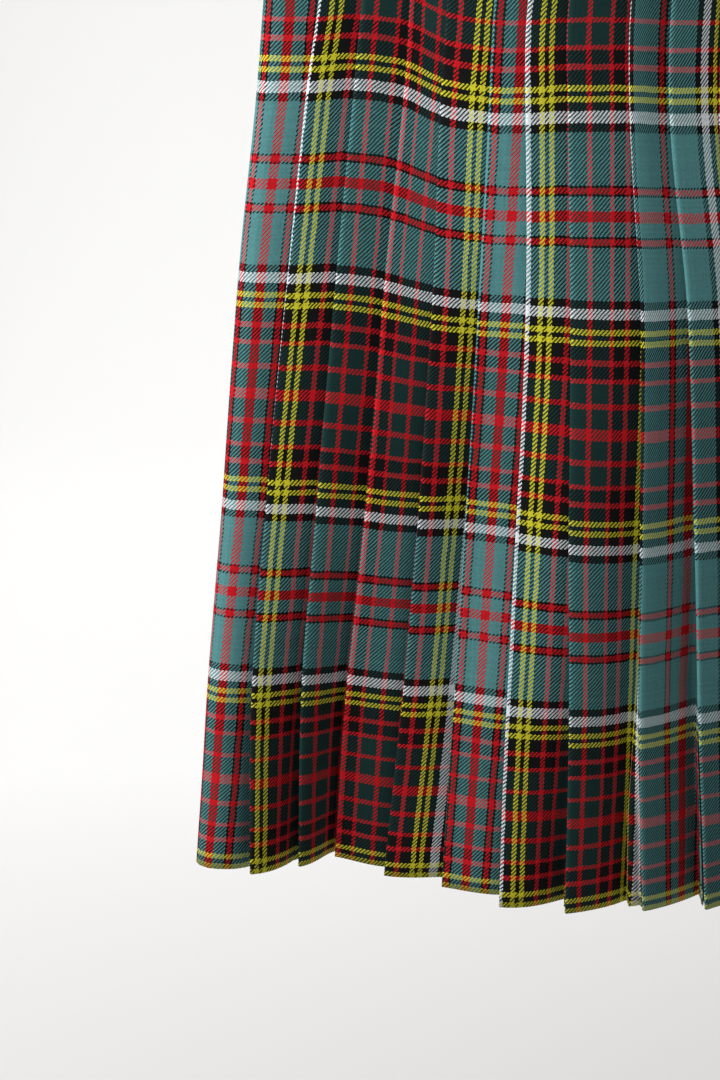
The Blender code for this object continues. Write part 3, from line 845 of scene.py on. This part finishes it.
dark_thread = mottled("dark_sewing_thread", roughness=0.7, scale=1800.0, detail=2.0,
                      dark=(0.0, (0.0060, 0.0096, 0.0108)), light=(1.0, (0.0140, 0.0224, 0.0252)))
stitch_ends = []
for line in STITCH_LINES:
    place = band_start + CLEAR_OF_ENDS
    while place < band_end - CLEAR_OF_ENDS:
        start, outward = on_band(place, line)
        pleat_width = (on_band(place + SHORT_WAY, line)[0] - start).length / SHORT_WAY
        end, _ = on_band(place + STITCH_LENGTH / pleat_width, line)
        stitch_ends.append((start, end, outward))
        place += STITCH_STEP / pleat_width
pleat_width_at_lap = pleat_width
band_stitches = stitch_row("waistband_stitches", stitch_ends)
band_stitches.data.materials.append(dark_thread)
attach(band_stitches, "root")


# Button: a turned four-hole button of dark green horn, sewn to the band's under end. It comes out
# through a worked buttonhole in the outer end and lies over it, and a crossed thread is in its holes.

BUTTON_RADIUS = 8.5 * MM
BUTTON_THICK = 3.0 * MM
BUTTON_FROM_END = 0.85
BUTTON_LOWER = 2.0 * MM
BUTTON_LIFT = 0.3 * MM
BUTTON_EDGE = 0.35 * MM
BUTTON_HOLE = 0.9 * MM
BUTTON_HOLES_OUT = 2.0 * MM
BUTTON_CORNERS = math.radians(35)
DISH = 0.55 * MM
DISH_STEPS = ((1.6 * MM, 0.0), (0.8 * MM, -DISH), (2.0 * MM, -0.20 * MM))
CROSSING_LIFT = 0.3 * MM
CROSSING_SPREAD = 0.25 * MM
SLIT_STITCHES = 15
SLIT_STEP = 1.35 * MM
SLIT_INNER = 0.6 * MM
SLIT_OUTER = 3.6 * MM

button_down = BAND_HEIGHT / 2 + BUTTON_LOWER
button_place = band_start + BUTTON_FROM_END
bare, facing, _, button_drop = spot(button_place, button_down)
seat_flat = bare + facing * (BAND_OUTSIDE + BUTTON_LIFT)
button_seat = Vector((seat_flat.x, seat_flat.y, -button_down - button_drop))
button_out = Vector((facing.x, facing.y, 0.0))
button_turn = button_out.to_track_quat("Z", "Y")


def seat_on_band(piece):
    """Turn a piece made at the origin to face out of the band, and leave its place in its mesh."""
    for vertex in piece.data.vertices:
        vertex.co = button_seat + button_turn @ vertex.co


def towards_hole(quarter):
    turn = math.pi / 4 + quarter * math.pi / 2
    return Vector((math.cos(turn), math.sin(turn), 0.0))


bpy.ops.object.select_all(action="DESELECT")
bpy.ops.mesh.primitive_cylinder_add(vertices=64, radius=BUTTON_RADIUS, depth=BUTTON_THICK,
                                    location=(0.0, 0.0, BUTTON_THICK / 2))
button = bpy.context.object
button.name = "button_horn"
bpy.ops.object.transform_apply(location=True)
bpy.ops.object.mode_set(mode="EDIT")
bpy.ops.mesh.select_all(action="DESELECT")
bpy.ops.mesh.select_mode(type="FACE")
bpy.ops.object.mode_set(mode="OBJECT")
for polygon in button.data.polygons:
    polygon.select = polygon.normal.z > 0.9
bpy.ops.object.mode_set(mode="EDIT")
for width, depth in DISH_STEPS:
    bpy.ops.mesh.inset(thickness=width, depth=depth)
bpy.ops.object.mode_set(mode="OBJECT")
holes = []
for quarter in range(4):
    bpy.ops.mesh.primitive_cylinder_add(vertices=24, radius=BUTTON_HOLE, depth=4 * BUTTON_THICK,
                                        location=towards_hole(quarter) * BUTTON_HOLES_OUT)
    holes.append(bpy.context.object)
for hole in holes:
    cut = button.modifiers.new("hole", "BOOLEAN")
    cut.operation = "DIFFERENCE"
    cut.object = hole
    bpy.context.view_layer.objects.active = button
    bpy.ops.object.modifier_apply(modifier=cut.name)
for hole in holes:
    bpy.data.objects.remove(hole, do_unlink=True)
soften = button.modifiers.new("rounded", "BEVEL")
soften.width = BUTTON_EDGE
soften.segments = 3
soften.limit_method = "ANGLE"
soften.angle_limit = BUTTON_CORNERS
bpy.context.view_layer.objects.active = button
bpy.ops.object.modifier_apply(modifier=soften.name)
bpy.ops.object.select_all(action="DESELECT")
button.select_set(True)
bpy.ops.object.shade_smooth_by_angle(angle=BUTTON_CORNERS)
seat_on_band(button)

horn = mottled("dark_green_horn", roughness=0.32, scale=320.0, detail=5.0,
               dark=(0.35, (0.012, 0.032, 0.030)), light=(0.70, (0.045, 0.085, 0.075)))
button.data.materials.append(horn)
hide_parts("waist_button")
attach(button, "root")

crossing = []
for quarter in (0, 1):
    reach = towards_hole(quarter) * BUTTON_HOLES_OUT
    sideways = towards_hole(quarter + 1) * CROSSING_SPREAD
    lift = Vector((0.0, 0.0, BUTTON_THICK - DISH + quarter * CROSSING_LIFT))
    for side in (-1, 1):
        aside = lift + sideways * side
        crossing.append((aside - reach, aside + reach, Vector((0.0, 0.0, 1.0))))
button_thread = stitch_row("button_thread", crossing)
seat_on_band(button_thread)
button_thread.data.materials.append(dark_thread)
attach(button_thread, "root")

slit = []
for step in range(SLIT_STITCHES):
    along_slit = (step - SLIT_STITCHES // 2) * SLIT_STEP
    place = button_place + along_slit / pleat_width_at_lap
    for side in (-0.5, 0.5):
        inner_end, outward = on_band(place, button_down + side * SLIT_INNER)
        outer_end, _ = on_band(place, button_down + side * SLIT_OUTER)
        slit.append((inner_end, outer_end, outward))
buttonhole = stitch_row("buttonhole_stitches", slit)
buttonhole.data.materials.append(dark_thread)
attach(buttonhole, "root")


# Backdrop: a pale floor, with painted shade on it up to a little behind the skirt, that sweeps up into a
# wall far behind the skirt, so that the skirt stands clear of it from all sides, and a camera a little
# above the hem that looks down on it.

FLOOR = -1.15
WALL = 3.6
CORNER = 0.9
FLOOR_FRONT = -5.0
FLOOR_WIDTH = 12.0
WALL_TOP = 1.6
PAPER_ROWS = 96

# Painted shade on the paper: its darker tone in front, its lighter one further back, and how far behind the
# skirt's middle the one goes over into the other
PAPER_IN_PAINTED_SHADE, DARKER_TO = (0.645, 0.638, 0.630), 0.45
LIGHTER_PAPER, LIGHTER_FROM = (0.838, 0.835, 0.828), 1.15

floor_run = WALL - CORNER - FLOOR_FRONT
corner_run = CORNER * math.pi / 2
wall_run = WALL_TOP - FLOOR - CORNER
bpy.ops.object.select_all(action="DESELECT")
bpy.ops.mesh.primitive_grid_add(x_subdivisions=2, y_subdivisions=PAPER_ROWS, size=1.0)
sweep = bpy.context.object
sweep.name = "backdrop"
for vertex in sweep.data.vertices:
    run = (vertex.co.y + 0.5) * (floor_run + corner_run + wall_run)
    turn = min(max(run - floor_run, 0.0), corner_run) / CORNER
    beyond = max(run - floor_run - corner_run, 0.0)
    ahead = FLOOR_FRONT + min(run, floor_run) + CORNER * math.sin(turn)
    vertex.co = (vertex.co.x * FLOOR_WIDTH, ahead, FLOOR + CORNER * (1 - math.cos(turn)) + beyond)
for polygon in sweep.data.polygons:
    polygon.use_smooth = True
paper = bpy.data.materials.new("backdrop_paper")
paper.use_nodes = True
paper_nodes, paper_links = paper.node_tree.nodes, paper.node_tree.links
paper_shader = paper_nodes["Principled BSDF"]
paper_shader.inputs["Roughness"].default_value = 0.9
paper_shader.inputs["Specular IOR Level"].default_value = 0.1
paper_place = paper_nodes.new("ShaderNodeTexCoord")
paper_split = paper_nodes.new("ShaderNodeSeparateXYZ")
# Painted shade: the paper is darker in front and under the skirt and goes over to lighter further back
paper_shade = paper_nodes.new("ShaderNodeMapRange")
paper_shade.inputs["From Min"].default_value = DARKER_TO
paper_shade.inputs["From Max"].default_value = LIGHTER_FROM
paper_painted_shade = paper_nodes.new("ShaderNodeMix")
paper_painted_shade.data_type = "RGBA"
paper_painted_shade.inputs["A"].default_value = (*PAPER_IN_PAINTED_SHADE, 1.0)
paper_painted_shade.inputs["B"].default_value = (*LIGHTER_PAPER, 1.0)
paper_links.new(paper_place.outputs["Object"], paper_split.inputs[0])
paper_links.new(paper_split.outputs["Y"], paper_shade.inputs["Value"])
paper_links.new(paper_shade.outputs["Result"], paper_painted_shade.inputs["Factor"])
paper_links.new(paper_painted_shade.outputs["Result"], paper_shader.inputs["Base Color"])
sweep.data.materials.append(paper)

world = bpy.data.worlds.new("room")
bpy.context.scene.world = world
world.use_nodes = True
world.node_tree.nodes["Background"].inputs["Color"].default_value = (1.0, 0.99, 0.98, 1.0)
world.node_tree.nodes["Background"].inputs["Strength"].default_value = 0.30


def soft_light(name, place, aim, size, watts):
    data = bpy.data.lights.new(name, "AREA")
    data.shape = "SQUARE"
    data.size = size
    data.energy = watts
    lamp = bpy.data.objects.new(name, data)
    bpy.context.scene.collection.objects.link(lamp)
    lamp.location = place
    lamp.visible_camera = False
    lamp.rotation_euler = (Vector(aim) - Vector(place)).to_track_quat("-Z", "Y").to_euler()


soft_light("key_light", (-1.02, -0.48, 0.26), (-0.45, 0.3, -0.36), 0.7, 27.5)
soft_light("fill_light", (1.6, -1.6, 0.2), (0.0, 0.0, -0.45), 1.6, 2.0)
soft_light("backdrop_light", (-0.45, 2.2, 1.3), (-0.45, 2.4, -1.15), 1.6, 45.0)

camera_data = bpy.data.cameras.new("camera")
camera_data.lens = 66.67
camera_data.sensor_width = 36.0
camera = bpy.data.objects.new("camera", camera_data)
bpy.context.scene.collection.objects.link(camera)
camera.location = (-0.180, -0.865, -0.3134)
camera.rotation_euler = (math.radians(90.0 - 16.0), 0.0, 0.0)
bpy.context.scene.camera = camera
bpy.context.scene.view_settings.view_transform = "Standard"
